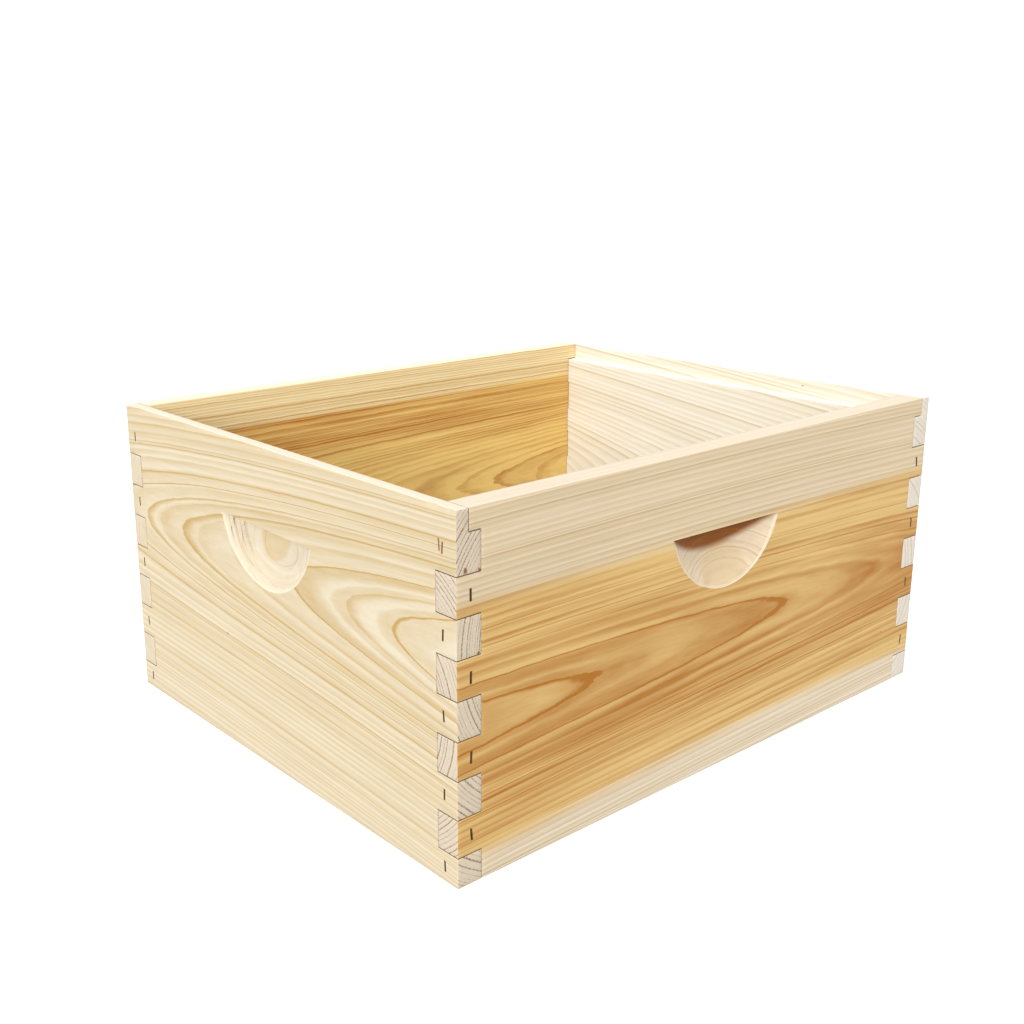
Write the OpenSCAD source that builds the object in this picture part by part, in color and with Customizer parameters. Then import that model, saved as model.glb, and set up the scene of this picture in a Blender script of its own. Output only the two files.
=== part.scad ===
// Langstroth hive body: an open wooden box of four finger-jointed boards, stapled at the corners.
// Millimetres, +Z up. X runs along the length, Y across the width, and the origin is the middle
// of the footprint at the bottom rim. "Front" is the -X end and "right" is the -Y side.

/* [Box] */
// Outside length of the box, over the two end boards
length = 505; // [440:1:560]
// Outside width of the box, over the two side boards
width = 413; // [300:1:520]
// Height of the box
height = 243; // [240:1:280]
// Thickness of all four boards
board_thickness = 19; // [17:0.5:22]

/* [Finger joints] */
// Height of the top finger, which holds the frame rest
top_finger = 40; // [38:1:44]
// Height of each finger between the top one and the bottom one
middle_finger = 26; // [22:1:26]
// Play between a finger and its socket, which shows as the joint line
joint_gap = 0.3; // [0.1:0.1:0.6]

/* [Frame rests] */
// Drop from the top rim to the shelf that the frames hang on
rest_drop = 15; // [12:0.5:17]
// Width of the shelf, cut from the inner side of each end board
rest_width = 9.5; // [7:0.5:10]
// Gap over the shelf's ends, under the side board's tongue that closes the rebate
tongue_gap = 0.8; // [0.3:0.1:1.5]

/* [Hand holds] */
// Drop from the top rim to the flat ledge that the fingers pull on
ledge_drop = 59; // [50:1:70]
// Radius of the scooped circle where it meets the board's face
scoop_radius = 60; // [50:1:65]
// Height of the circle's middle above the ledge
scoop_rise = 14.5; // [5:0.5:30]
// Depth of the scoop at the circle's middle
scoop_depth = 12.5; // [8:0.5:13]

/* [Staples] */
// Outside width of a staple, across its crown
crown_width = 6.5; // [5:0.1:8]
// Length of a staple's legs, crown included
leg_length = 32; // [25:1:36]
// Width of the flat wire, across the crown
wire_width = 1.25; // [1:0.05:1.5]
// Thickness of the flat wire
wire_thickness = 1.05; // [0.9:0.05:1.2]
// Depth of a crown below the board's face
staple_sink = 1.6; // [0.5:0.1:2]
// Distance from the corner to the staples on the end boards' faces
end_staple_inset = 12.5; // [9:0.5:14]
// Distance from the corner to the staples on the side boards' faces
side_staple_inset = 11; // [9:0.5:14]
// Drop from the top rim to the staple in the top finger
top_staple_drop = 25; // [22:0.5:28]

/* [Hidden] */
$fn = 96;
// Fingers are counted from the top. Odd ones belong to the end boards, even ones to the side boards.
finger_count = 9;
fingers = [1:finger_count];
// The radius of the bend beside a crown, and the length of the chisel point on a leg
bend_radius = 1.3;
point_length = 2;
// Play round a leg in its channel, and round a crown in the slot that the driver leaves
leg_play = 0.05;
crown_play = 0.2;
// How far a cut runs past the wood
past = 1;

half_crown = crown_width / 2;
shelf_height = height - rest_drop;
lip_width = board_thickness - rest_width;
ball_radius = (pow(scoop_radius, 2) + pow(scoop_depth, 2)) / (2 * scoop_depth);

function finger_top(i) = i == 1 ? height : height - top_finger - (i - 2) * middle_finger;
function finger_bottom(i) = i == finger_count ? 0 : finger_top(i + 1);
function is_end_finger(i) = i % 2 == 1;
function staple_height(i) =
    i == 1 ? height - top_staple_drop : (finger_top(i) + finger_bottom(i)) / 2;

// A corner is its end, -1 front or 1 rear, and its side, -1 right or 1 left.
corners = [[-1, -1], [-1, 1], [1, -1], [1, 1]];
function end_name(c) = c[0] < 0 ? "front" : "rear";
function side_name(c) = c[1] < 0 ? "right" : "left";
function staple_name(c, i) = str("staple_", end_name(c), "_", side_name(c), "_", i);

// Places what is made with its corner at the origin, and its wood towards +X and +Y, at corner c.
module at_corner(c) {
    mirror([c[0] < 0 ? 0 : 1, 0, 0])
        mirror([0, c[1] < 0 ? 0 : 1, 0])
            translate([-length / 2, -width / 2, 0])
                children();
}

// Places what is driven along +X from the origin at finger i of a corner.
module at_staple(i) {
    if (is_end_finger(i)) {
        translate([0, end_staple_inset, staple_height(i)]) children();
    } else {
        translate([side_staple_inset, 0, staple_height(i)]) rotate([0, 0, 90]) children();
    }
}

// The space that finger i of the other board takes, with its play.
module socket(i, depth, from = 0, to = height) {
    low = max(finger_bottom(i) - joint_gap / 2, from);
    high = min(finger_top(i) + joint_gap / 2, to);
    translate([-past, -past, low])
        cube([depth + past, board_thickness + 2 * past, high - low]);
}

// The slot and the two channels that a driven staple leaves.
module staple_space() {
    slot_width = wire_width + 2 * crown_play;
    slot_height = crown_width + 2 * crown_play;
    channel_width = wire_width + 2 * leg_play;
    channel_height = wire_thickness + 2 * leg_play;
    translate([-past, -slot_width / 2, -slot_height / 2])
        cube([past + staple_sink + wire_thickness + leg_play, slot_width, slot_height]);
    for (side = [-1, 1])
        translate([0, -channel_width / 2, side * (half_crown - wire_thickness / 2) - channel_height / 2])
            cube([staple_sink + leg_length + leg_play, channel_width, channel_height]);
}

// The upper half of a staple's outline, from the back of the crown round a bend to the chisel point
// of the leg and back along the inside.
upper_outline = concat(
    [for (turn = [0:15:90])
        [bend_radius * (1 - cos(turn)), half_crown - bend_radius * (1 - sin(turn))]],
    [
        [leg_length - point_length, half_crown],
        [leg_length, half_crown - wire_thickness / 2],
        [leg_length - point_length, half_crown - wire_thickness],
        [wire_thickness, half_crown - wire_thickness]
    ]
);
lower_outline = [for (i = [len(upper_outline) - 1:-1:0]) [upper_outline[i][0], -upper_outline[i][1]]];

// One staple, its legs along +X.
module staple() {
    color("silver")
        translate([staple_sink, 0, 0])
            rotate([90, 0, 0])
                linear_extrude(wire_width, center = true)
                    polygon(concat(upper_outline, lower_outline));
}

// The scoop of a hand hold, cut into a board whose face is at X = 0 and whose wood is towards +X.
module hand_hold() {
    ledge_height = height - ledge_drop;
    intersection() {
        translate([scoop_depth - ball_radius, 0, ledge_height + scoop_rise])
            sphere(r = ball_radius);
        translate([-past, -scoop_radius - past, ledge_height - scoop_radius])
            cube([scoop_depth + 2 * past, 2 * (scoop_radius + past), scoop_radius]);
    }
}

// The front end board. It owns the odd fingers, and its shelf takes the lugs of the frames.
module end_board() {
    color("burlywood")
        difference() {
            translate([-length / 2, -width / 2, 0])
                cube([board_thickness, width, height]);
            translate([lip_width - length / 2, -width / 2 - past, shelf_height])
                cube([rest_width + past, width + 2 * past, rest_drop + past]);
            translate([-length / 2, 0, 0])
                hand_hold();
            for (side = [-1, 1])
                at_corner([-1, side]) {
                    for (i = fingers) {
                        if (!is_end_finger(i))
                            mirror([1, -1, 0]) socket(i, board_thickness);
                        at_staple(i) staple_space();
                    }
                }
        }
}

// The right side board. It owns the even fingers, and a tongue above each shelf.
module side_board() {
    color("wheat")
        difference() {
            translate([-length / 2, -width / 2, 0])
                cube([length, board_thickness, height]);
            translate([0, -width / 2, 0])
                rotate([0, 0, 90])
                    hand_hold();
            for (end = [-1, 1])
                at_corner([end, -1]) {
                    for (i = fingers) {
                        if (is_end_finger(i))
                            socket(i, board_thickness, to = shelf_height + tongue_gap);
                        at_staple(i) staple_space();
                    }
                    socket(1, lip_width, from = shelf_height, to = height + past);
                }
        }
}

end_board();  // front_end_board
rotate([0, 0, 180]) end_board();  // rear_end_board
side_board();  // right_side_board
rotate([0, 0, 180]) side_board();  // left_side_board
for (c = corners, i = fingers)
    at_corner(c) at_staple(i) staple();
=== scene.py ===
"""Looks of a wooden hive body: four finger-jointed softwood boards, 36 staples, a pale floor, soft light.

Lengths named *_MM, and everything inside a Board or a material, are in millimetres. Blender's own
lengths are in metres.
"""

import math
import random
from collections import namedtuple
from types import SimpleNamespace

import bmesh
import bpy
import numpy as np
from mathutils import Matrix, Vector, noise


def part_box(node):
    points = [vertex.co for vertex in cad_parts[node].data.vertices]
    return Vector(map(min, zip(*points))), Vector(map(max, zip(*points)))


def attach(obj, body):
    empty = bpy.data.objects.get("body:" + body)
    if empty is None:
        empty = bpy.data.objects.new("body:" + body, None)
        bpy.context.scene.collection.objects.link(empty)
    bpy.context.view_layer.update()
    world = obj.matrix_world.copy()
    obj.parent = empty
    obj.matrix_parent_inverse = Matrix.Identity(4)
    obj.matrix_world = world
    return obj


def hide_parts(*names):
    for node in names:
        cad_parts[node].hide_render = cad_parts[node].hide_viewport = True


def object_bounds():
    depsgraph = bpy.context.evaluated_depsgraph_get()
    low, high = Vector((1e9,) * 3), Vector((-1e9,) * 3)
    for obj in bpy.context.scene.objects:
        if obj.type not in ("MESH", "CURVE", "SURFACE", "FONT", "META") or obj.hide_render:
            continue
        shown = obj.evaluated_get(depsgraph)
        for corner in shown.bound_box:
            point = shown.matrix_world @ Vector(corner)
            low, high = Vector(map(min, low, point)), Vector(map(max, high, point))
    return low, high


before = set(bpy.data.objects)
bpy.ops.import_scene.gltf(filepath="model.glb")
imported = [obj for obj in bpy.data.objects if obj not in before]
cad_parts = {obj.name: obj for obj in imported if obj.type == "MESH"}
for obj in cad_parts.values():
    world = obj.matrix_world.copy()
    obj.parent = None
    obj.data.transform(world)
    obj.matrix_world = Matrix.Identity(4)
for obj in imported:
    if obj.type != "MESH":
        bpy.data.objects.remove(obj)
cad_low, cad_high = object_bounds()

MM = 0.001
UP = Vector((0, 0, 1))
LENGTH_MM, WIDTH_MM, HEIGHT_MM = [round(side / MM, 3) for side in cad_high - cad_low]
END_LOW, END_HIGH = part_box("front_end_board")
THICKNESS_MM = round((END_HIGH.x - END_LOW.x) / MM, 3)

# The CAD part's joinery, with gaps a little wider than its play. Fingers are counted from the top, and
# the odd ones belong to the end boards.
TOP_FINGER_MM = 40.0
MIDDLE_FINGER_MM = 26.0
FINGER_COUNT = 9
JOINT_GAP_MM = 0.45
SEAM_MM = 0.3
REST_DROP_MM = 15.0
REST_WIDTH_MM = 9.5
TONGUE_GAP_MM = 0.8
SHELF_MM = HEIGHT_MM - REST_DROP_MM
LIP_MM = THICKNESS_MM - REST_WIDTH_MM

# The slots that driven staples leave: width and height, the most that one leans to a side per unit of
# height, and the thickness of the wire in it.
SIDE_SLOT_MM = (1.8, 8.2)
END_SLOT_MM = (1.6, 7.6)
SLOT_LEAN = 0.13
WIRE_MM = 1.05

# A second, shallow slot beside the near top staple of the front board: its offset along and up, and
# its depth.
MISDRIVEN_OFFSET_MM = (-2.9, 1.4)
MISDRIVEN_DEPTH_MM = 1.1

# The scoop of a hand hold: part of a ball, cut off by a flat ledge.
LEDGE_MM = HEIGHT_MM - 59.0
SCOOP_RADIUS_MM = 60.0
SCOOP_RISE_MM = 14.5
SCOOP_DEPTH_MM = 12.5
BALL_RADIUS_MM = (SCOOP_RADIUS_MM**2 + SCOOP_DEPTH_MM**2) / (2 * SCOOP_DEPTH_MM)

# Nicks in the front board's top edge: distance from the near corner, reach and bite.
NICKS_MM = ((5.5, 3.0, 1.0), (17.5, 2.5, 0.8), (22.5, 2.5, 0.9))

Slot = namedtuple("Slot", "along up depth")


def finger_range(i):
    """Bottom and top of finger i."""
    top = HEIGHT_MM if i == 1 else HEIGHT_MM - TOP_FINGER_MM - (i - 2) * MIDDLE_FINGER_MM
    bottom = 0.0 if i == FINGER_COUNT else HEIGHT_MM - TOP_FINGER_MM - (i - 1) * MIDDLE_FINGER_MM
    return bottom, top


class Board:
    """One board and its own axes: along the grain to the right as seen from outside, depth in from the
    outer face, and up."""

    def __init__(self, node, outward):
        self.node = node
        self.outward = Vector(outward)
        self.along = UP.cross(self.outward)
        self.is_end = abs(self.outward.x) > 0.5
        self.face_mm = (LENGTH_MM if self.is_end else WIDTH_MM) / 2
        self.half_mm = (WIDTH_MM if self.is_end else LENGTH_MM) / 2
        self.slot_width, self.slot_height = END_SLOT_MM if self.is_end else SIDE_SLOT_MM

    def slots(self):
        """The middle and the bottom of each staple's slot in this board's outer face."""
        found = []
        for name in sorted(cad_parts):
            if not name.startswith("staple_"):
                continue
            low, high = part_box(name)
            middle = (low + high) / 2 / MM
            legs_run_x = high.x - low.x > high.y - low.y
            if legs_run_x == self.is_end and middle.dot(self.outward) > 0:
                crown = max(low.dot(self.outward), high.dot(self.outward)) / MM
                found.append(Slot(middle.dot(self.along), middle.z, self.face_mm - crown + WIRE_MM))
        if self.node == "front_end_board":
            first = max(found, key=lambda slot: slot.along + slot.up)
            right, rise = MISDRIVEN_OFFSET_MM
            found.append(Slot(first.along + right, first.up + rise, MISDRIVEN_DEPTH_MM))
        return found


BOARDS = [
    Board("front_end_board", (-1, 0, 0)),
    Board("rear_end_board", (1, 0, 0)),
    Board("right_side_board", (0, -1, 0)),
    Board("left_side_board", (0, 1, 0)),
]


# ---------------------------------------------------------------- board meshes

ALONG_STEP_MM, DEPTH_STEP_MM, UP_STEP_MM = 3.0, 4.0, 4.0
RIM_BEVEL_MM = 0.5
JOINT_BEVEL_MM = 0.16
SHARP_ANGLE = math.radians(28)
BOTH_SIDES = (-1, 1)

# Two places closer than this count as the same, and a slot's edges may stray this far from its outline.
SAME_MM = 0.01
SLOT_STRAY_MM = 0.1
SLOT_ZONE_MM = 3.0


def lines(stops, step):
    """Grid lines through every stop, with even steps of at most step between them."""
    stops = sorted(set(round(stop, 4) for stop in stops))
    out = [stops[0]]
    for a, b in zip(stops, stops[1:]):
        count = max(1, math.ceil((b - a) / step))
        out += [a + (b - a) * k / count for k in range(1, count + 1)]
    return np.array(out)


def board_grid(board, slots):
    """The grid lines of a board's cells, along, in depth and up."""
    half = board.half_mm
    along = [half, half - THICKNESS_MM - SEAM_MM, half - LIP_MM - SEAM_MM]
    along += [-stop for stop in along]
    along += [slot.along + side * board.slot_width / 2 for slot in slots for side in BOTH_SIDES]
    depth = [0.0, THICKNESS_MM, LIP_MM] + [slot.depth for slot in slots]
    up = [0.0, HEIGHT_MM, SHELF_MM, SHELF_MM + TONGUE_GAP_MM]
    up += [slot.up + side * board.slot_height / 2 for slot in slots for side in BOTH_SIDES]
    for i in range(2, FINGER_COUNT + 1):
        up += [finger_range(i)[1] + side * JOINT_GAP_MM / 2 for side in BOTH_SIDES]
    return lines(along, ALONG_STEP_MM), lines(depth, DEPTH_STEP_MM), lines(up, UP_STEP_MM)


def board_cells(board, slots, grids):
    """Which cells of the grid are wood."""
    middles = [(grid[1:] + grid[:-1]) / 2 for grid in grids]
    along, depth, up = np.meshgrid(*middles, indexing="ij")
    from_end = board.half_mm - np.abs(along)
    wood = np.ones(along.shape, bool)
    for i in range(1, FINGER_COUNT + 1):
        bottom, top = finger_range(i)
        is_own = (i % 2 == 1) == board.is_end
        if not is_own:
            in_band = (up > bottom - JOINT_GAP_MM / 2) & (up < top + JOINT_GAP_MM / 2)
            reach = np.full(along.shape, THICKNESS_MM + SEAM_MM)
            if i == 1:
                reach[up > SHELF_MM + TONGUE_GAP_MM] = LIP_MM + SEAM_MM
            wood &= ~(in_band & (from_end < reach))
    if board.is_end:
        wood &= ~((depth > LIP_MM) & (up > SHELF_MM))
    for slot in slots:
        in_width = np.abs(along - slot.along) < board.slot_width / 2
        in_height = np.abs(up - slot.up) < board.slot_height / 2
        wood &= ~(in_width & in_height & (depth < slot.depth))
    return wood


def cell_mesh(board, grids, wood):
    """A closed quad mesh round the wood cells, in (along, depth, up) millimetres."""
    counts = [len(grid) for grid in grids]
    padded = np.pad(wood, 1)
    faces = []
    for axis in range(3):
        # A face stands wherever wood begins or ends between two neighbouring cells on this axis
        after = np.moveaxis(padded, axis, 0)
        step = after[1:].astype(int) - after[:-1].astype(int)
        step = np.moveaxis(step, 0, axis)
        trim = tuple(slice(None) if k == axis else slice(1, -1) for k in range(3))
        step = step[trim]
        for sign in BOTH_SIDES:
            index = np.argwhere(step == sign)
            b, c = [k for k in range(3) if k != axis]
            corners = []
            for db, dc in ((0, 0), (1, 0), (1, 1), (0, 1)):
                corner = index.copy()
                corner[:, b] += db
                corner[:, c] += dc
                corners.append(np.ravel_multi_index(corner.T, counts))
            quad = np.stack(corners, 1)
            flip = (sign > 0) != (axis == 1)
            faces.append(quad[:, ::-1] if flip else quad)
    faces = np.concatenate(faces)
    used, faces = np.unique(faces, return_inverse=True)
    faces = faces.reshape(-1, 4)
    at = np.array(np.unravel_index(used, counts)).T
    points = np.stack([grids[k][at[:, k]] for k in range(3)], 1)
    mesh = bpy.data.meshes.new(board.node)
    mesh.from_pydata(points.tolist(), [], faces.tolist())
    return mesh


def tilt_slots(board, mesh, slots, seed):
    """Leans each staple slot a little, as hand-driven ones are."""
    rng = random.Random(seed)
    leans = [rng.uniform(-SLOT_LEAN, SLOT_LEAN) for _ in slots]
    half_width = board.slot_width / 2 + 0.5
    half_height = board.slot_height / 2 + SLOT_STRAY_MM
    for vert in mesh.vertices:
        for slot, lean in zip(slots, leans):
            rise = vert.co.z - slot.up
            beside = abs(vert.co.x - slot.along) < half_width
            if beside and abs(rise) < half_height and vert.co.y < SLOT_ZONE_MM:
                vert.co.x += lean * rise


def is_ridge(edge):
    """Whether an edge stands out between two faces at an angle, as a rim does."""
    if len(edge.link_faces) != 2:
        return False
    one, two = edge.link_faces
    if one.normal.dot(two.normal) > 0.5:
        return False
    return one.normal.dot(two.calc_center_median() - one.calc_center_median()) <= 0


def bevel_share(board, edge, slots):
    """An outward edge's share of the rim's bevel: full on the rims, less in the joints, none at slots."""
    middle = (edge.verts[0].co + edge.verts[1].co) / 2
    slot_reach = board.slot_height / 2 + SLOT_STRAY_MM
    for slot in slots:
        beside = abs(middle.x - slot.along) < board.slot_width
        if beside and abs(middle.z - slot.up) < slot_reach and middle.y < slot.depth + SLOT_STRAY_MM:
            return 0.0
    edge_dir = (edge.verts[1].co - edge.verts[0].co).normalized()
    at_end = board.half_mm - abs(middle.x) < SAME_MM
    in_joint = board.half_mm - abs(middle.x) < THICKNESS_MM + SAME_MM
    at_rim = middle.z < SAME_MM or middle.z > HEIGHT_MM - SAME_MM
    upright_corner = at_end and middle.y < SAME_MM and abs(edge_dir.z) > 0.5
    is_rim = at_rim and (middle.y < SAME_MM or not in_joint or at_end)
    if upright_corner or is_rim or not in_joint:
        return 1.0
    return JOINT_BEVEL_MM / RIM_BEVEL_MM


def weigh_edges(board, mesh, slots):
    """Gives each outward edge of the wood its share of the bevel."""
    bm = bmesh.new()
    bm.from_mesh(mesh)
    bmesh.ops.recalc_face_normals(bm, faces=bm.faces)
    weight = bm.edges.layers.float.new("bevel_weight_edge")
    for edge in bm.edges:
        if is_ridge(edge):
            edge[weight] = bevel_share(board, edge, slots)
    bm.to_mesh(mesh)
    bm.free()


# ---------------------------------------------------------------- hand holds

# The cutter's rings have this many spokes. Its top stands this far outside the board's face.
SPOKES = 120
CUTTER_TOP_MM = -12.0

# How far a step's height fades out on both sides of it, and half the width of the torn line on it.
STEP_FADE_MM = 3.2
TORN_LINE_MM = 0.55

# The hand holds as cut. A step is (share of the outline, height, share of it that goes all the way round).
END_SCOOP = SimpleNamespace(
    shift_mm=-2.0, tilt=-0.008, ripple_mm=0.10,
    steps=((0.90, 0.6, 0.5), (0.821, 1.6, 0.35), (0.74, 0.7, 0.2), (0.653, 1.7, 0.2), (0.30, 0.3, 0.8)),
)
SIDE_SCOOP = SimpleNamespace(
    shift_mm=-3.5, tilt=-0.018, ripple_mm=0.10,
    steps=((0.955, 0.5, 0.8),),
)


def scoop_depth(x, y):
    """Depth of the plain scoop at x along and y up from the middle of its circle."""
    return math.sqrt(max(BALL_RADIUS_MM**2 - x**2 - y**2, 0)) - (BALL_RADIUS_MM - SCOOP_DEPTH_MM)


def scoop_depth_at(scoop, place):
    """Depth of the plain scoop at a board's point, or far below zero outside its outline."""
    x = place.x - scoop.shift_mm
    y = place.z - place.x * scoop.tilt - LEDGE_MM - SCOOP_RISE_MM
    if y > 1.0 - SCOOP_RISE_MM or math.hypot(x, y) > SCOOP_RADIUS_MM + 6:
        return -10.0
    return scoop_depth(x, y)


def cutter_point(scoop, share, turn, seed):
    """A point (along, depth, up) of a hand hold's floor, and how torn it is. Share 1 is the outline."""
    rise = share if share > 1 else 1 - (1 - share) ** 1.5
    x = SCOOP_RADIUS_MM * math.cos(turn) * share
    y = (SCOOP_RADIUS_MM * math.sin(turn) + SCOOP_RISE_MM) * rise - SCOOP_RISE_MM
    depth = scoop_depth(x, y)
    fade = 0.5 - 0.5 * math.cos(turn)
    torn = 0.0
    for at, height, everywhere in scoop.steps:
        inside = (at - share) * SCOOP_RADIUS_MM
        sign = 1 if inside > 0 else -1
        strength = everywhere + (1 - everywhere) * fade**1.5
        depth += sign * height / 2 * math.exp(-abs(inside) / STEP_FADE_MM) * strength
        torn = max(torn, height * (fade**2 + 0.12) * math.exp(-((inside / TORN_LINE_MM) ** 2)))
    depth += scoop.ripple_mm * noise.noise(Vector((share * 24, turn * 1.2, seed)))
    depth += 0.15 * noise.noise(Vector((x / 11, y / 11, seed)))
    x += scoop.shift_mm
    z = LEDGE_MM + SCOOP_RISE_MM + y + x * scoop.tilt
    return (x, depth, z), torn


def cutter_faces(rings):
    """The cutter's floor, top and walls, and the two fans that close its innermost ring."""
    row = SPOKES + 1
    count = rings * row
    floor_middle, top_middle = 2 * count, 2 * count + 1
    faces = []
    for k in range(rings - 1):
        for j in range(SPOKES):
            a = k * row + j
            quad = (a, a + 1, a + row + 1, a + row)
            faces.append(quad)
            faces.append(tuple(count + v for v in reversed(quad)))
        for j in (0, SPOKES):
            a = k * row + j
            faces.append((a, a + row, count + a + row, count + a))
    for j in range(SPOKES):
        a = (rings - 1) * row + j
        faces.append((a, a + 1, count + a + 1, count + a))
        faces.append((j, j + 1, floor_middle))
        faces.append((count + j + 1, count + j, top_middle))
    faces.append((0, floor_middle, SPOKES))
    faces.append((count + SPOKES, top_middle, count))
    faces.append((0, SPOKES, count + SPOKES, count))
    return faces


def scoop_cutter(scoop, seed):
    """The solid that cuts a hand hold. Its rings shrink from the outline towards the ledge."""
    shares = [k / 100 for k in range(4, 134, 2)]
    for at, _, _ in scoop.steps:
        shares += [at - 0.006, at + 0.006]
    shares.sort()
    first = math.asin(SCOOP_RISE_MM / SCOOP_RADIUS_MM)
    turns = [math.pi + first + (math.pi - 2 * first) * j / SPOKES for j in range(SPOKES + 1)]
    points = [cutter_point(scoop, share, turn, seed) for share in shares for turn in turns]
    floor = [place for place, _ in points]
    top = [(x, CUTTER_TOP_MM, z) for x, _, z in floor]
    inner = shares[0] * (SCOOP_RADIUS_MM - SCOOP_RISE_MM) / 2
    middle_up = LEDGE_MM - inner + scoop.shift_mm * scoop.tilt
    middles = [(scoop.shift_mm, depth, middle_up) for depth in (floor[SPOKES // 2][1], CUTTER_TOP_MM)]
    torn = [tear for _, tear in points] + [0.0] * (len(top) + len(middles))
    mesh = bpy.data.meshes.new("cutter")
    mesh.from_pydata(floor + top + middles, [], cutter_faces(len(shares)))
    mesh.attributes.new("torn", "FLOAT", "POINT").data.foreach_set("value", torn)
    bm = bmesh.new()
    bm.from_mesh(mesh)
    bmesh.ops.remove_doubles(bm, verts=bm.verts, dist=0.0005)
    bmesh.ops.dissolve_degenerate(bm, edges=bm.edges, dist=0.0002)
    bmesh.ops.recalc_face_normals(bm, faces=bm.faces)
    bm.to_mesh(mesh)
    bm.free()
    cutter = bpy.data.objects.new("cutter", mesh)
    bpy.context.scene.collection.objects.link(cutter)
    return cutter


# ---------------------------------------------------------------- wear, and marks for the materials


def wear_edges(mesh, scoop, seed, nicks):
    """Rounds the bevelled edges unevenly, and knocks the nicks (along, up, reach, bite) out of them."""
    bm = bmesh.new()
    bm.from_mesh(mesh)
    bm.normal_update()
    worn = {}
    for face in bm.faces:
        is_bevel = max(abs(c) for c in face.normal) < 0.995 and face.calc_area() < 8
        if is_bevel:
            worn.update((vert, True) for vert in face.verts)
    for vert in worn:
        place = vert.co
        if scoop_depth_at(scoop, place) > -1.0 and place.y < SCOOP_DEPTH_MM + 2:
            continue
        fine = noise.noise(Vector((place.x / 7, place.y / 3, place.z / 7 + seed)))
        broad = noise.noise(Vector((place.x / 45, place.y / 20 + seed, place.z / 45)))
        bite = 0.05 + 0.10 * abs(fine) + 0.12 * max(broad, 0)
        for at_along, at_up, reach, deep in nicks:
            gap = math.hypot(place.x - at_along, place.z - at_up)
            if gap < reach and place.y < 3:
                bite += deep * (1 - gap / reach)
        vert.co -= vert.normal * bite
    bm.to_mesh(mesh)
    bm.free()


def slot_mark(board, slots, place):
    """1 inside a staple's slot, less inside the misdriven pair, and 0 elsewhere."""
    half_width = board.slot_width / 2 + 0.6
    half_height = board.slot_height / 2 + 0.02
    for slot in slots:
        in_outline = abs(place.x - slot.along) < half_width and abs(place.z - slot.up) < half_height
        if in_outline and 0.01 < place.y < slot.depth + 0.02:
            last = slots[-1]
            is_near_last = abs(place.x - last.along) < 4.5 and place.z > last.up - 6
            return 0.62 if last.depth == MISDRIVEN_DEPTH_MM and is_near_last else 1.0
    return 0.0


def mark_cuts(board, mesh, scoop, slots):
    """Marks on each face whether it is in the scoop, in a slot or between two fingers, for the material."""
    in_scoop, in_slot, in_seam = [], [], []
    for face in mesh.polygons:
        place, normal = face.center, face.normal
        is_cut = scoop_depth_at(scoop, place) > -0.5 and 0.02 < place.y < SCOOP_DEPTH_MM + 1.5
        slotted = slot_mark(board, slots, place)
        from_end = board.half_mm - abs(place.x)
        in_joint = from_end < THICKNESS_MM + SEAM_MM + 0.1 and 1.0 < place.z < HEIGHT_MM - 1.0
        is_cheek = abs(normal.x) > 0.9 and from_end > 1.0
        is_shoulder = abs(normal.z) > 0.9 and abs(place.z - SHELF_MM) > 0.1
        in_scoop.append(1.0 if is_cut and normal.z > -0.5 else 0.0)
        in_slot.append(slotted)
        in_seam.append(1.0 if in_joint and not slotted and (is_cheek or is_shoulder) else 0.0)
    for name, values in (("scooped", in_scoop), ("slotted", in_slot), ("seamed", in_seam)):
        mesh.attributes.new(name, "FLOAT", "FACE").data.foreach_set("value", values)


def evaluated_mesh(obj):
    """A plain mesh of obj with its modifiers applied."""
    graph = bpy.context.evaluated_depsgraph_get()
    return bpy.data.meshes.new_from_object(obj.evaluated_get(graph), depsgraph=graph)


def cut_board(board, slots, scoop, seed):
    """The board's mesh in its own axes, with its edges bevelled and its hand hold cut."""
    grids = board_grid(board, slots)
    mesh = cell_mesh(board, grids, board_cells(board, slots, grids))
    weigh_edges(board, mesh, slots)
    tilt_slots(board, mesh, slots, seed)
    mesh.attributes.new("torn", "FLOAT", "POINT")
    work = bpy.data.objects.new("work", mesh)
    bpy.context.scene.collection.objects.link(work)
    bevel = work.modifiers.new("bevel", "BEVEL")
    bevel.width = RIM_BEVEL_MM
    bevel.segments = 2
    bevel.limit_method = "WEIGHT"
    cutter = scoop_cutter(scoop, seed)
    cut = work.modifiers.new("cut", "BOOLEAN")
    cut.operation = "DIFFERENCE"
    cut.solver = "EXACT"
    cut.object = cutter
    final = evaluated_mesh(work)
    bpy.data.objects.remove(work)
    bpy.data.objects.remove(cutter)
    return final


def make_board(board, scoop, seed):
    """The finished piece of a board, standing in the part's frame."""
    slots = board.slots()
    nicks = []
    if board.node == "front_end_board":
        nicks = [(board.half_mm - gap, HEIGHT_MM, reach, bite) for gap, reach, bite in NICKS_MM]
    final = cut_board(board, slots, scoop, seed)
    final.name = board.node + "_wood"
    wear_edges(final, scoop, seed, nicks)
    mark_cuts(board, final, scoop, slots)
    turn = Matrix.Identity(4)
    for column, axis in enumerate((board.along, -board.outward, UP)):
        for row in range(3):
            turn[row][column] = axis[row] * MM
    turn.translation = board.outward * board.face_mm * MM
    final.transform(turn)
    if turn.determinant() < 0:
        final.flip_normals()
    final.shade_smooth()
    final.set_sharp_from_angle(angle=SHARP_ANGLE)
    piece = bpy.data.objects.new(board.node + "_wood", final)
    bpy.context.scene.collection.objects.link(piece)
    return piece


# ---------------------------------------------------------------- materials


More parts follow.
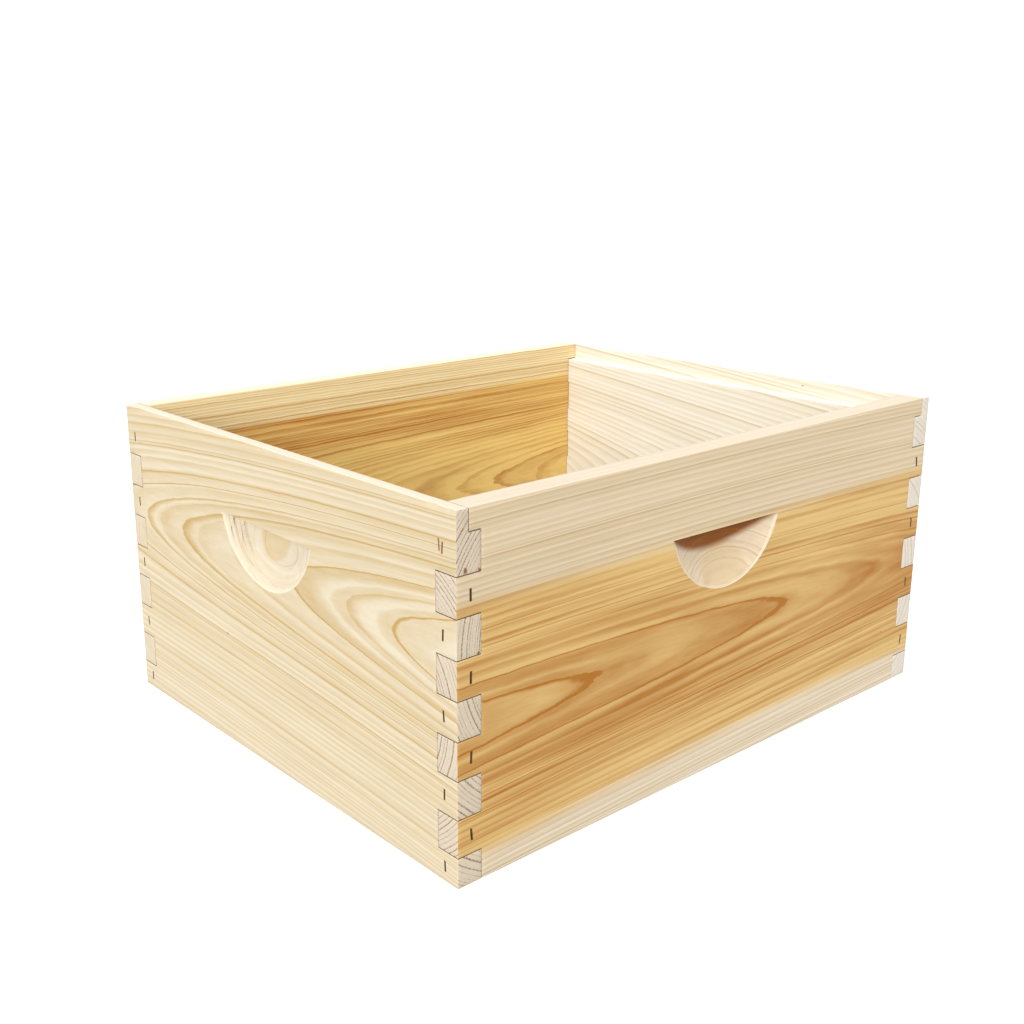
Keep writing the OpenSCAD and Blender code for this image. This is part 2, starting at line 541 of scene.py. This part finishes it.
class Num:
    """A number in a material's node tree, which Python's own operators combine through Math nodes."""

    def __init__(self, tree, socket):
        self.tree, self.socket = tree, socket

    def math(self, operation, *others):
        node = self.tree.nodes.new("ShaderNodeMath")
        node.operation = operation
        for slot, value in zip(node.inputs, (self, *others)):
            connect(self.tree, value, slot)
        return Num(self.tree, node.outputs[0])

    def __add__(self, other):
        return self.math("ADD", other)

    def __sub__(self, other):
        return self.math("SUBTRACT", other)

    def __mul__(self, other):
        return self.math("MULTIPLY", other)

    def __truediv__(self, other):
        return self.math("DIVIDE", other)

    def __radd__(self, other):
        return self.math("ADD", other)

    def __rsub__(self, other):
        return self.math("MULTIPLY", -1.0) + other

    def square(self):
        return self.math("MULTIPLY", self)

    def smooth(self, low, high):
        """0 below low, 1 above high, and an S curve between them."""
        node = self.tree.nodes.new("ShaderNodeMapRange")
        node.interpolation_type = "SMOOTHSTEP"
        connect(self.tree, self, node.inputs["Value"])
        connect(self.tree, low, node.inputs["From Min"])
        connect(self.tree, high, node.inputs["From Max"])
        return Num(self.tree, node.outputs[0])


def connect(tree, value, socket):
    """Links a Num or a socket, or sets a plain value."""
    if isinstance(value, Num):
        tree.links.new(value.socket, socket)
    elif isinstance(value, bpy.types.NodeSocket):
        tree.links.new(value, socket)
    else:
        socket.default_value = value


class Surface:
    """A material being built from nodes."""

    def __init__(self, name):
        self.material = bpy.data.materials.new(name)
        self.material.use_nodes = True
        self.tree = self.material.node_tree
        self.shader = self.tree.nodes["Principled BSDF"]

    def node(self, kind, **inputs):
        made = self.tree.nodes.new(kind)
        for name, value in inputs.items():
            connect(self.tree, value, made.inputs[name.replace("_", " ")])
        return made

    def vector(self, x, y, z):
        return self.node("ShaderNodeCombineXYZ", X=x, Y=y, Z=z).outputs[0]

    def noise(self, vector, detail=2.0, roughness=0.5):
        """Smooth noise from about -1 to 1."""
        made = self.node("ShaderNodeTexNoise", Vector=vector, Scale=1.0, Detail=detail, Roughness=roughness)
        return (Num(self.tree, made.outputs["Fac"]) - 0.5) * 2.0

    def noise_line(self, value, detail=1.0):
        """Smooth noise from about -1 to 1 that changes with one number only."""
        made = self.tree.nodes.new("ShaderNodeTexNoise")
        made.noise_dimensions = "1D"
        connect(self.tree, value, made.inputs["W"])
        made.inputs["Scale"].default_value = 1.0
        made.inputs["Detail"].default_value = detail
        return (Num(self.tree, made.outputs["Fac"]) - 0.5) * 2.0

    def random(self, value):
        """A random number from 0 to 1 for each whole value."""
        made = self.tree.nodes.new("ShaderNodeTexWhiteNoise")
        made.noise_dimensions = "1D"
        connect(self.tree, value, made.inputs["W"])
        return Num(self.tree, made.outputs["Value"])

    def mix(self, share, one, two):
        """Colour one where share is 0 and colour two where it is 1."""
        made = self.tree.nodes.new("ShaderNodeMix")
        made.data_type = "RGBA"
        for name, value in (("Factor_Float", share), ("A_Color", one), ("B_Color", two)):
            socket = next(s for s in made.inputs if s.identifier == name)
            connect(self.tree, (*value, 1.0) if isinstance(value, tuple) else value, socket)
        return next(s for s in made.outputs if s.identifier == "Result_Color")

    def attribute(self, name):
        made = self.tree.nodes.new("ShaderNodeAttribute")
        made.attribute_name = name
        return Num(self.tree, made.outputs["Fac"])

    def bump(self, height, distance):
        """Small relief, as deep as distance in metres."""
        made = self.node("ShaderNodeBump", Strength=0.4, Distance=distance, Height=height)
        connect(self.tree, made.outputs[0], self.shader.inputs["Normal"])


# Pale cream for the hand hold's edge: sawn fuzz with a painted highlight
FUZZ_HIGHLIGHT_CREAM = (0.740, 0.665, 0.540)
TAN_CUT = (0.560, 0.400, 0.180)
SLOT_BROWN = (0.150, 0.065, 0.022)
MISDRIVEN_BROWN = (0.420, 0.190, 0.045)
SPECK_BROWN = (0.200, 0.090, 0.030)
SEAM_BROWN = (0.165, 0.080, 0.028)
TORN_BROWN = (0.300, 0.140, 0.040)
# Dark brown for the painted shadow under a hand hold's ledge
LEDGE_SHADOW_BROWN = (0.200, 0.062, 0.009)
RUST = (0.240, 0.075, 0.015)

# How each board's plank lay in the tree, and its colours. Lengths are in millimetres.
#
# pith_depth: how far behind the outer face the pith lies
# rise, centre: how the rings' squared radius and middle height change along the board. Each is the
#     constant and the factors of the powers of the share of the length.
# first_ring, ring, uneven: the radius of one ring, the width of a year, and how unequal the years are
# plain, bands, wavy: the strength of ordinary rings, of broad bands and of small waves in the rings
# strong: rings that stand out, as (radius, strength, width of the dark part)
# heart_up, heart_radius: middle height and radius of the heartwood, in the same form as rise
# heart_strength, heart_edge: how far the heartwood shows, and the width of its soft edge
# rim_width, rim_strength: a darker belt just inside the heartwood's edge
# core_up, core_reach, core_strength: a darker belt at one height
# cut, cut_rings, fresh, ledge_shade: the hand hold's colour and rings, its pale edge of sawn fuzz
#     with a painted highlight, and the painted shadow under its ledge
# tan: a darker patch of the hand hold, as (along, up, reach, strength)
# spots: rusty spots on the end grain, as (depth, up, reach)
# sap, low_sap, heart and end: colours of the wood, and *_late of its dark late wood
# rim: a paler colour painted on faces turned up, as glare of the top light
SIDE_BOARD = dict(
    heart_strength=1.0, ledge_shade=1.0, cut=(0.660, 0.555, 0.415), fresh=0.45, cut_rings=0.6, spots=(),
)
END_BOARD = dict(
    heart_up=(0.0, 0.0, 0.0), heart_radius=(1.0, 0.0, 0.0), heart_strength=0.0, heart_edge=1.0,
    rim_width=1.0, rim_strength=0.0, core_up=90.0, core_reach=60.0, core_strength=0.0,
    ledge_shade=0.0, fresh=0.4, wavy=0.30,
    heart=(0.520, 0.345, 0.150), heart_late=(0.330, 0.125, 0.020),
)
LOOKS = {
    "right_side_board": SimpleNamespace(
        **SIDE_BOARD,
        seed=3.0, pith_depth=75.0, rise=(0.0, 858.0, 586.0, 0.0), centre=(105.4, 12.6, -8.3),
        first_ring=76.6, ring=3.1, uneven=0.7, plain=0.65, bands=1.0, wavy=0.30,
        strong=(
            (76.6, 1.0, 0.42), (80.1, 0.95, 0.38), (82.4, 0.2, 0.8), (87.0, 0.55, 0.5),
            (90.0, 0.9, 0.7), (96.4, 0.8, 0.8), (108.0, 0.5, 0.7), (130.2, 0.6, 1.0),
        ),
        heart_up=(99.8, 14.8, -11.1), heart_radius=(115.8, -11.2, 8.9), heart_edge=8.0,
        rim_width=12.0, rim_strength=0.0, core_up=95.0, core_reach=48.0, core_strength=0.5,
        tan=(-2.0, 148.0, 28.0, 0.35),
        sap=(0.650, 0.535, 0.370), sap_late=(0.430, 0.305, 0.150), low_sap=(0.705, 0.610, 0.470),
        heart=(0.635, 0.435, 0.168), heart_late=(0.360, 0.135, 0.010), rim=(0.670, 0.580, 0.470),
        end=(0.615, 0.530, 0.420), end_late=(0.200, 0.125, 0.060),
    ),
    "left_side_board": SimpleNamespace(
        **SIDE_BOARD,
        seed=11.0, pith_depth=85.0, rise=(0.0, 3100.0, 0.0, 0.0), centre=(112.0, 15.0, 0.0),
        first_ring=70.0, ring=1.9, uneven=1.3, plain=0.8, bands=0.6, wavy=0.75,
        strong=(
            (96.0, 0.5, 0.6), (99.4, 0.7, 0.7), (103.0, 0.6, 0.6), (106.5, 0.7, 0.7), (110.7, 0.7, 0.8),
            (114.4, 0.6, 0.8), (123.5, 0.9, 0.8), (127.0, 0.7, 0.6), (131.5, 0.9, 0.9),
        ),
        heart_up=(105.0, 0.0, 0.0), heart_radius=(127.4, 0.0, 0.0), heart_edge=2.2,
        rim_width=44.0, rim_strength=0.46, core_up=60.0, core_reach=30.0, core_strength=0.2,
        tan=(0.0, 148.0, 28.0, 0.35),
        sap=(0.810, 0.675, 0.395), sap_late=(0.490, 0.270, 0.065), low_sap=(0.810, 0.675, 0.395),
        heart=(0.760, 0.530, 0.175), heart_late=(0.400, 0.140, 0.015), rim=(0.780, 0.700, 0.580),
        end=(0.610, 0.535, 0.405), end_late=(0.460, 0.360, 0.230),
    ),
    "front_end_board": SimpleNamespace(
        **END_BOARD,
        seed=23.0, pith_depth=100.0, rise=(0.0, -4956.0, 1512.0, -694.0), centre=(154.8, 9.5, -12.2),
        first_ring=79.7, ring=3.7, uneven=0.9, plain=0.45, bands=0.45,
        strong=(
            (80.3, 1.0, 0.35), (83.0, 0.4, 0.8), (86.7, 1.0, 0.45), (86.6, 0.35, 3.5), (95.1, 0.75, 1.2),
            (98.5, 0.75, 0.9), (102.1, 0.9, 0.5), (105.4, 0.75, 0.9), (114.8, 0.65, 0.9),
            (116.2, 0.75, 0.6), (157.0, 0.6, 1.0),
        ),
        cut=(0.650, 0.580, 0.455), tan=(-2.0, 176.0, 21.0, 0.55), cut_rings=0.3,
        spots=((7.0, 205.6, 1.8), (17.5, 204.2, 1.0), (2.0, 128.5, 1.0), (17.0, 152.0, 1.2)),
        sap=(0.615, 0.545, 0.405), sap_late=(0.440, 0.285, 0.085), low_sap=(0.615, 0.545, 0.408),
        rim=(0.740, 0.645, 0.540),
        end=(0.640, 0.545, 0.420), end_late=(0.190, 0.115, 0.050),
    ),
    "rear_end_board": SimpleNamespace(
        **END_BOARD,
        seed=37.0, pith_depth=90.0, rise=(9912.0, -9912.0, 0.0, 0.0), centre=(95.0, 0.0, 0.0),
        first_ring=75.0, ring=3.6, uneven=0.8, plain=0.8, bands=0.6, strong=(),
        cut=(0.720, 0.680, 0.600), tan=(0.0, 165.0, 22.0, 0.4), cut_rings=0.4, spots=(),
        sap=(0.745, 0.715, 0.630), sap_late=(0.560, 0.470, 0.300), low_sap=(0.745, 0.715, 0.630),
        rim=(0.930, 0.910, 0.870),
        end=(0.680, 0.620, 0.540), end_late=(0.520, 0.440, 0.340),
    ),
}


def power_sum(terms, share):
    """terms[0] + terms[1] * share + terms[2] * share squared and so on."""
    total = share * terms[-1]
    for term in reversed(terms[1:-1]):
        total = (total + term) * share
    return total + terms[0]


def wood_point(s, board):
    """The point being shaded: its place in the board's axes, which way it faces, and its marks."""
    spot = s.tree.nodes.new("ShaderNodeTexCoord")
    parts = s.node("ShaderNodeSeparateXYZ", Vector=spot.outputs["Object"])
    facing = s.tree.nodes.new("ShaderNodeNewGeometry")
    normal = s.node("ShaderNodeSeparateXYZ", Vector=facing.outputs["Normal"])
    x, y, z = [Num(s.tree, parts.outputs[k]) * 1000.0 for k in range(3)]
    if board.is_end:
        along, across, crossing = y * board.along.y, x * board.outward.x, normal.outputs[1]
    else:
        along, across, crossing = x * board.along.x, y * board.outward.y, normal.outputs[0]
    return SimpleNamespace(
        along=along,
        depth=board.face_mm - across,
        up=z,
        share=along / (2 * board.half_mm) + 0.5,
        end_grain=Num(s.tree, crossing).math("ABSOLUTE").smooth(0.55, 0.85),
        # Faces turned up, which take the painted glare of the top light
        top_glare_face=Num(s.tree, normal.outputs[2]).smooth(0.8, 0.95),
        scooped=s.attribute("scooped"),
        slotted=s.attribute("slotted"),
        seamed=s.attribute("seamed"),
        torn=s.attribute("torn"),
    )


def add_rings(s, p, look):
    """Adds the yearly rings to the point: pale early wood darkens to late wood and then stops sharply."""
    # Distance from the pith, which leans and wanders a little along the board
    p.slow = s.noise(s.vector(p.along / 150.0 + look.seed, p.depth / 40.0, p.up / 50.0), detail=1.0)
    waves = s.vector(p.along / 24.0 + look.seed, p.depth / 8.0, p.up / 8.0)
    p.quick = s.noise(waves, detail=4.0, roughness=0.6)
    off_centre = p.up - power_sum(look.centre, p.share)
    from_pith = (look.pith_depth - p.depth).square() + off_centre.square() + power_sum(look.rise, p.share)
    p.radius = from_pith.math("SQRT") + p.slow * 0.35 + p.quick * look.wavy

    # Each year has its own strength
    uneven = s.noise_line(p.radius / 15.0 + look.seed) * look.uneven
    count = (p.radius - look.first_ring) / look.ring + uneven
    p.luck = s.random(count.math("FLOOR") + look.seed * 7.0)
    phase = count.math("FRACT")
    p.plain = phase.smooth(0.40, 0.94).math("POWER", 1.5) * (1.0 - phase.smooth(0.94, 1.0))
    p.early = phase.smooth(0.0, 0.12) * (1.0 - phase.smooth(0.12, 0.6)) * (1.0 - p.luck)
    p.late = p.plain * (p.luck.square() * 0.85 + 0.15) * look.plain
    for at, strength, width in look.strong:
        inside = at - p.radius
        line = (1.0 - inside.smooth(0.0, width)) * inside.smooth(-0.10, 0.03)
        p.late = p.late.math("MAXIMUM", line * strength)


def add_fibres(s, p, look):
    """Adds bands and threads that follow the rings, and fibres and streaks that follow the board."""

    def fibres(length, fineness, detail, roughness):
        across = s.vector(p.along / length, p.depth * fineness, p.up * fineness + look.seed)
        return s.noise(across, detail=detail, roughness=roughness)

    broad = s.vector(p.radius * 0.22, p.along / 300.0, look.seed)
    narrow = s.vector(p.radius * 0.75, p.along / 110.0, p.up * 0.12 + look.seed)
    clouds = s.vector(p.along / 90.0 + look.seed, p.depth / 25.0, p.up / 25.0)
    p.bands = s.noise(broad, detail=3.0, roughness=0.6)
    p.threads = s.noise(narrow, detail=4.0, roughness=0.7)
    p.patch = s.noise(clouds, detail=1.0)
    p.fibre = fibres(40.0, 1.0, detail=4.0, roughness=0.7)
    p.hairs = fibres(16.0, 3.2, detail=2.0, roughness=0.6)
    p.streak = fibres(120.0, 0.20, detail=3.0, roughness=0.6)
    p.streaks = p.threads * 1.25 + p.fibre * 0.55 + p.hairs * 0.35
    p.tears = s.noise(s.vector(p.along * 0.02, p.depth * 0.9, p.up * 0.9), detail=5.0, roughness=0.8)
    p.grit = s.noise(s.vector(p.along * 0.02, p.depth * 2.2, p.up * 2.2), detail=3.0, roughness=0.7)


def plank_colour(s, p, look):
    """Sapwood and heartwood, which is darker just inside its edge and about the middle of the board."""
    heart_high = p.up - power_sum(look.heart_up, p.share)
    heart_radius = ((look.pith_depth - p.depth).square() + heart_high.square()).math("SQRT")
    inside_heart = power_sum(look.heart_radius, p.share) - heart_radius
    inside_heart = inside_heart + p.slow * 0.9 + p.quick * 0.6 + p.threads * 0.7
    soft_edge = (inside_heart + p.bands * look.heart_edge * 0.5).smooth(-0.8, look.heart_edge)
    past_rim = inside_heart.smooth(look.rim_width * 0.4, look.rim_width)
    rim = (1.0 - past_rim) * (p.bands * 0.9 + 0.7) * look.rim_strength * (p.along * 0.0025 + 1.2)
    off_core = ((p.up - look.core_up) / look.core_reach).math("ABSOLUTE").smooth(0.2, 1.6)
    core = (1.0 - off_core) * look.core_strength

    bands = p.bands * look.bands
    sap_share = p.late + p.streaks * 0.28 + bands * 0.30 - p.early * 0.40 + 0.27
    heart_share = p.late * 0.75 + rim + core + bands * 0.95 + p.streaks * 0.30 - p.early * 0.32 + 0.14
    sap = s.mix(sap_share, s.mix(p.up.smooth(15.0, 60.0), look.low_sap, look.sap), look.sap_late)
    heart = s.mix(heart_share, look.heart, look.heart_late)
    return s.mix(soft_edge * look.heart_strength, sap, heart)


def add_hand_hold(s, p, look, colour):
    """The colour with the hand hold's cut wood, its pale edge of sawn fuzz and painted highlight, the
    painted shadow under its ledge, and torn lines.
    """
    tan_along, tan_up, tan_reach, tan_strength = look.tan
    off_tan = ((p.along - tan_along).square() + ((p.up - tan_up) * 1.15).square()).math("SQRT")
    off_tan = off_tan + p.quick * 3.0
    cut = s.mix((1.0 - off_tan.smooth(tan_reach * 0.75, tan_reach)) * tan_strength, look.cut, TAN_CUT)
    cut_share = p.late * look.cut_rings + p.streaks * 0.24 + 0.06
    # Painted shadow under the ledge: it reaches further down where the scoop is deeper, and more on the left
    shaded = p.depth * (1.6 - p.along * 0.008) + p.up - LEDGE_MM + p.streaks * 0.8
    painted_ledge_shadow = shaded.smooth(-4.5, 4.0) * p.scooped * look.ledge_shade
    # Pale edge along the scoop's outline: sawn fuzz, with a painted highlight
    edge = (1.0 - (p.depth + p.quick * 0.4).smooth(0.4, 1.3)) * p.scooped * look.fresh
    torn_share = p.torn * (p.up.smooth(LEDGE_MM - 14.0, LEDGE_MM - 3.0) * 0.5 + 0.4)
    colour = s.mix(p.scooped * 0.88, colour, s.mix(cut_share, cut, look.sap_late))
    colour = s.mix(edge, colour, FUZZ_HIGHLIGHT_CREAM)
    colour = s.mix(painted_ledge_shadow, colour, s.mix(cut_share, LEDGE_SHADOW_BROWN, look.heart_late))
    return s.mix(torn_share, colour, TORN_BROWN)


def end_grain_colour(s, p, look):
    """End grain: sawn across, paler and greyer, with torn dark late wood and a few rusty spots."""
    p.cut_late = p.plain * (p.luck * 0.6 + 0.4)
    dark_share = (p.cut_late * (p.tears * 2.4 + 0.85)).smooth(0.1, 0.9) * 0.9 + p.grit * 0.55 + 0.10
    colour = s.mix(dark_share, look.end, look.end_late)
    for spot_depth, spot_up, reach in look.spots:
        gap = ((p.depth - spot_depth).square() + ((p.up - spot_up) * 0.7).square()).math("SQRT")
        gap = gap + p.tears * 0.5
        rusty = (1.0 - gap.smooth(reach * 0.5, reach)) * p.along.smooth(0.0, 1.0) * 0.9
        colour = s.mix(rusty, colour, RUST)
    return colour


def add_marks(s, p, look, colour):
    """The colour with the board's uneven tone, small dark specks, and brown slots and seams."""
    tone = p.fibre * 0.08 + p.hairs * 0.06 + p.streak * 0.06 + p.patch * 0.03 + 1.0
    bright = s.node("ShaderNodeVectorMath", Vector=colour)
    bright.operation = "SCALE"
    connect(s.tree, tone, bright.inputs["Scale"])
    grid = s.vector(p.along / 30.0, p.depth / 16.0, p.up / 14.0 + look.seed)
    cells = s.node("ShaderNodeTexVoronoi", Vector=grid, Scale=1.0)
    pick = s.node("ShaderNodeSeparateColor", Color=cells.outputs["Color"])
    near_speck = 1.0 - Num(s.tree, cells.outputs["Distance"]).smooth(0.015, 0.06)
    speck = near_speck * Num(s.tree, pick.outputs[0]).smooth(0.90, 0.91) * (1.0 - p.scooped)
    slot_brown = s.mix(p.slotted.smooth(0.7, 0.9), MISDRIVEN_BROWN, SLOT_BROWN)
    colour = s.mix(speck * 0.75, bright.outputs[0], SPECK_BROWN)
    colour = s.mix(p.slotted * 0.92, colour, slot_brown)
    return s.mix(p.seamed * (p.tears.smooth(-0.5, 0.2) * 0.6 + 0.35), colour, SEAM_BROWN)


def wood_material(board, look):
    """Solid softwood: rings round a pith, cut by the board's faces into arches, stripes and end grain."""
    s = Surface(board.node + "_pine")
    p = wood_point(s, board)
    add_rings(s, p, look)
    add_fibres(s, p, look)
    colour = add_hand_hold(s, p, look, plank_colour(s, p, look))
    # Faces turned up take a paler colour: painted glare of the top light
    colour = s.mix(p.top_glare_face * 0.7, colour, look.rim)
    colour = s.mix(p.end_grain, colour, end_grain_colour(s, p, look))
    colour = add_marks(s, p, look, colour)
    connect(s.tree, colour, s.shader.inputs["Base Color"])

    rough = 0.58 + p.fibre * 0.06 + p.end_grain * 0.2 + p.scooped * 0.12
    connect(s.tree, rough, s.shader.inputs["Roughness"])
    s.shader.inputs["Specular IOR Level"].default_value = 0.25

    relief = p.late * 0.3 + p.fibre * 0.35 + p.hairs * 0.25 + p.threads * 0.2
    s.bump(relief + p.end_grain * (p.tears * 1.5 + p.grit * 0.7 - p.cut_late * 1.4), 0.0002)
    return s.material


def staple_material():
    """Galvanised flat wire, dulled, with brown spots of rust."""
    s = Surface("staple_wire")
    spot = s.tree.nodes.new("ShaderNodeTexCoord")
    scaled = s.node("ShaderNodeMapping", Vector=spot.outputs["Object"], Scale=(1400.0, 1400.0, 1400.0))
    rust = s.noise(scaled.outputs[0], detail=3.0).smooth(-0.25, 0.35)
    connect(s.tree, s.mix(rust, (0.17, 0.145, 0.12), (0.12, 0.050, 0.018)), s.shader.inputs["Base Color"])
    connect(s.tree, 1.0 - rust * 0.8, s.shader.inputs["Metallic"])
    connect(s.tree, 0.38 + rust * 0.4, s.shader.inputs["Roughness"])
    s.bump(rust, 0.0001)
    return s.material


# ---------------------------------------------------------------- the pieces

for index, board in enumerate(BOARDS):
    piece = make_board(board, END_SCOOP if board.is_end else SIDE_SCOOP, seed=10 + index)
    piece.data.materials.clear()
    piece.data.materials.append(wood_material(board, LOOKS[board.node]))
    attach(piece, "root")
    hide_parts(board.node)

wire = staple_material()
for name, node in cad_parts.items():
    if name.startswith("staple_"):
        node.data.materials.clear()
        node.data.materials.append(wire)


# ---------------------------------------------------------------- floor, light and camera

# Brightness of the sky at the horizon, of the sky overhead, and of its lower half
HORIZON_STRENGTH = 1.04
SKY_STRENGTH = 0.86
GROUND_STRENGTH = 0.76

FLOOR_REACH = 30.0
FLOOR_GREY = (0.90, 0.90, 0.90, 1.0)
WHITE = (1.0, 1.0, 1.0)

# The camera: its place in metres, its angles in degrees, its lens and sensor in millimetres, its shift
CAMERA_PLACE = (-0.6888, -0.7262, 0.4401)
CAMERA_HEADING, CAMERA_PITCH, CAMERA_ROLL = 49.86, -15.48, 0.37
LENS, SENSOR = 44.04, 36.0
SHIFT_X, SHIFT_Y = 0.0526, -0.0165


def make_floor():
    """A plain pale floor, far larger than the view. It throws no light up: the sky's dim lower half does."""
    corners = [(x * FLOOR_REACH, y * FLOOR_REACH, 0) for x, y in ((-1, -1), (1, -1), (1, 1), (-1, 1))]
    mesh = bpy.data.meshes.new("floor")
    mesh.from_pydata(corners, [], [(0, 1, 2, 3)])
    floor = bpy.data.objects.new("floor", mesh)
    bpy.context.scene.collection.objects.link(floor)
    s = Surface("floor_paint")
    s.shader.inputs["Base Color"].default_value = FLOOR_GREY
    s.shader.inputs["Roughness"].default_value = 0.9
    mesh.materials.append(s.material)
    floor.visible_diffuse = False


def make_light(name, direction, softness, strength, colour):
    """A far-off soft light that shines from a direction. Softness is its width in degrees."""
    lamp = bpy.data.lights.new(name, "SUN")
    lamp.angle = math.radians(softness)
    lamp.energy = strength
    lamp.color = colour
    obj = bpy.data.objects.new(name, lamp)
    obj.rotation_euler = Vector(direction).to_track_quat("Z", "Y").to_euler()
    bpy.context.scene.collection.objects.link(obj)


def make_sky():
    """A bright sky over a dim ground, with a white band at the horizon behind the box."""
    world = bpy.data.worlds.new("studio")
    world.use_nodes = True
    tree = world.node_tree
    where = tree.nodes.new("ShaderNodeTexCoord")
    parts = tree.nodes.new("ShaderNodeSeparateXYZ")
    connect(tree, where.outputs["Generated"], parts.inputs[0])
    height = Num(tree, parts.outputs[2])
    above = height.smooth(-0.06, -0.02) * (HORIZON_STRENGTH - GROUND_STRENGTH) + GROUND_STRENGTH
    strength = above - height.smooth(0.11, 0.22) * (HORIZON_STRENGTH - SKY_STRENGTH)
    connect(tree, strength, tree.nodes["Background"].inputs["Strength"])
    tree.nodes["Background"].inputs["Color"].default_value = (*WHITE, 1.0)
    bpy.context.scene.world = world


def make_camera():
    """A camera that looks down on the near corner, with the long side on the right."""
    heading, pitch, roll = [math.radians(turn) for turn in (CAMERA_HEADING, CAMERA_PITCH, CAMERA_ROLL)]
    level = math.cos(pitch)
    forward = Vector((level * math.cos(heading), level * math.sin(heading), math.sin(pitch)))
    right = Vector((forward.y, -forward.x, 0)).normalized()
    above = right.cross(forward)
    tilt = Matrix.Rotation(roll, 3, forward)
    right, above = tilt @ right, tilt @ above
    data = bpy.data.cameras.new("camera")
    data.sensor_width = SENSOR
    data.lens = LENS
    data.shift_x = SHIFT_X
    data.shift_y = SHIFT_Y
    camera = bpy.data.objects.new("camera", data)
    basis = Matrix((right, above, -forward)).transposed().to_4x4()
    basis.translation = Vector(CAMERA_PLACE)
    camera.matrix_world = basis
    bpy.context.scene.collection.objects.link(camera)
    bpy.context.scene.camera = camera


make_floor()
make_light("key", direction=(-0.80, -0.44, 0.34), softness=24.0, strength=2.3, colour=(1.0, 0.985, 0.96))
make_light("overhead", direction=(-0.12, -0.08, 1.0), softness=30.0, strength=1.5, colour=WHITE)
make_sky()
bpy.context.scene.view_settings.view_transform = "Standard"
make_camera()
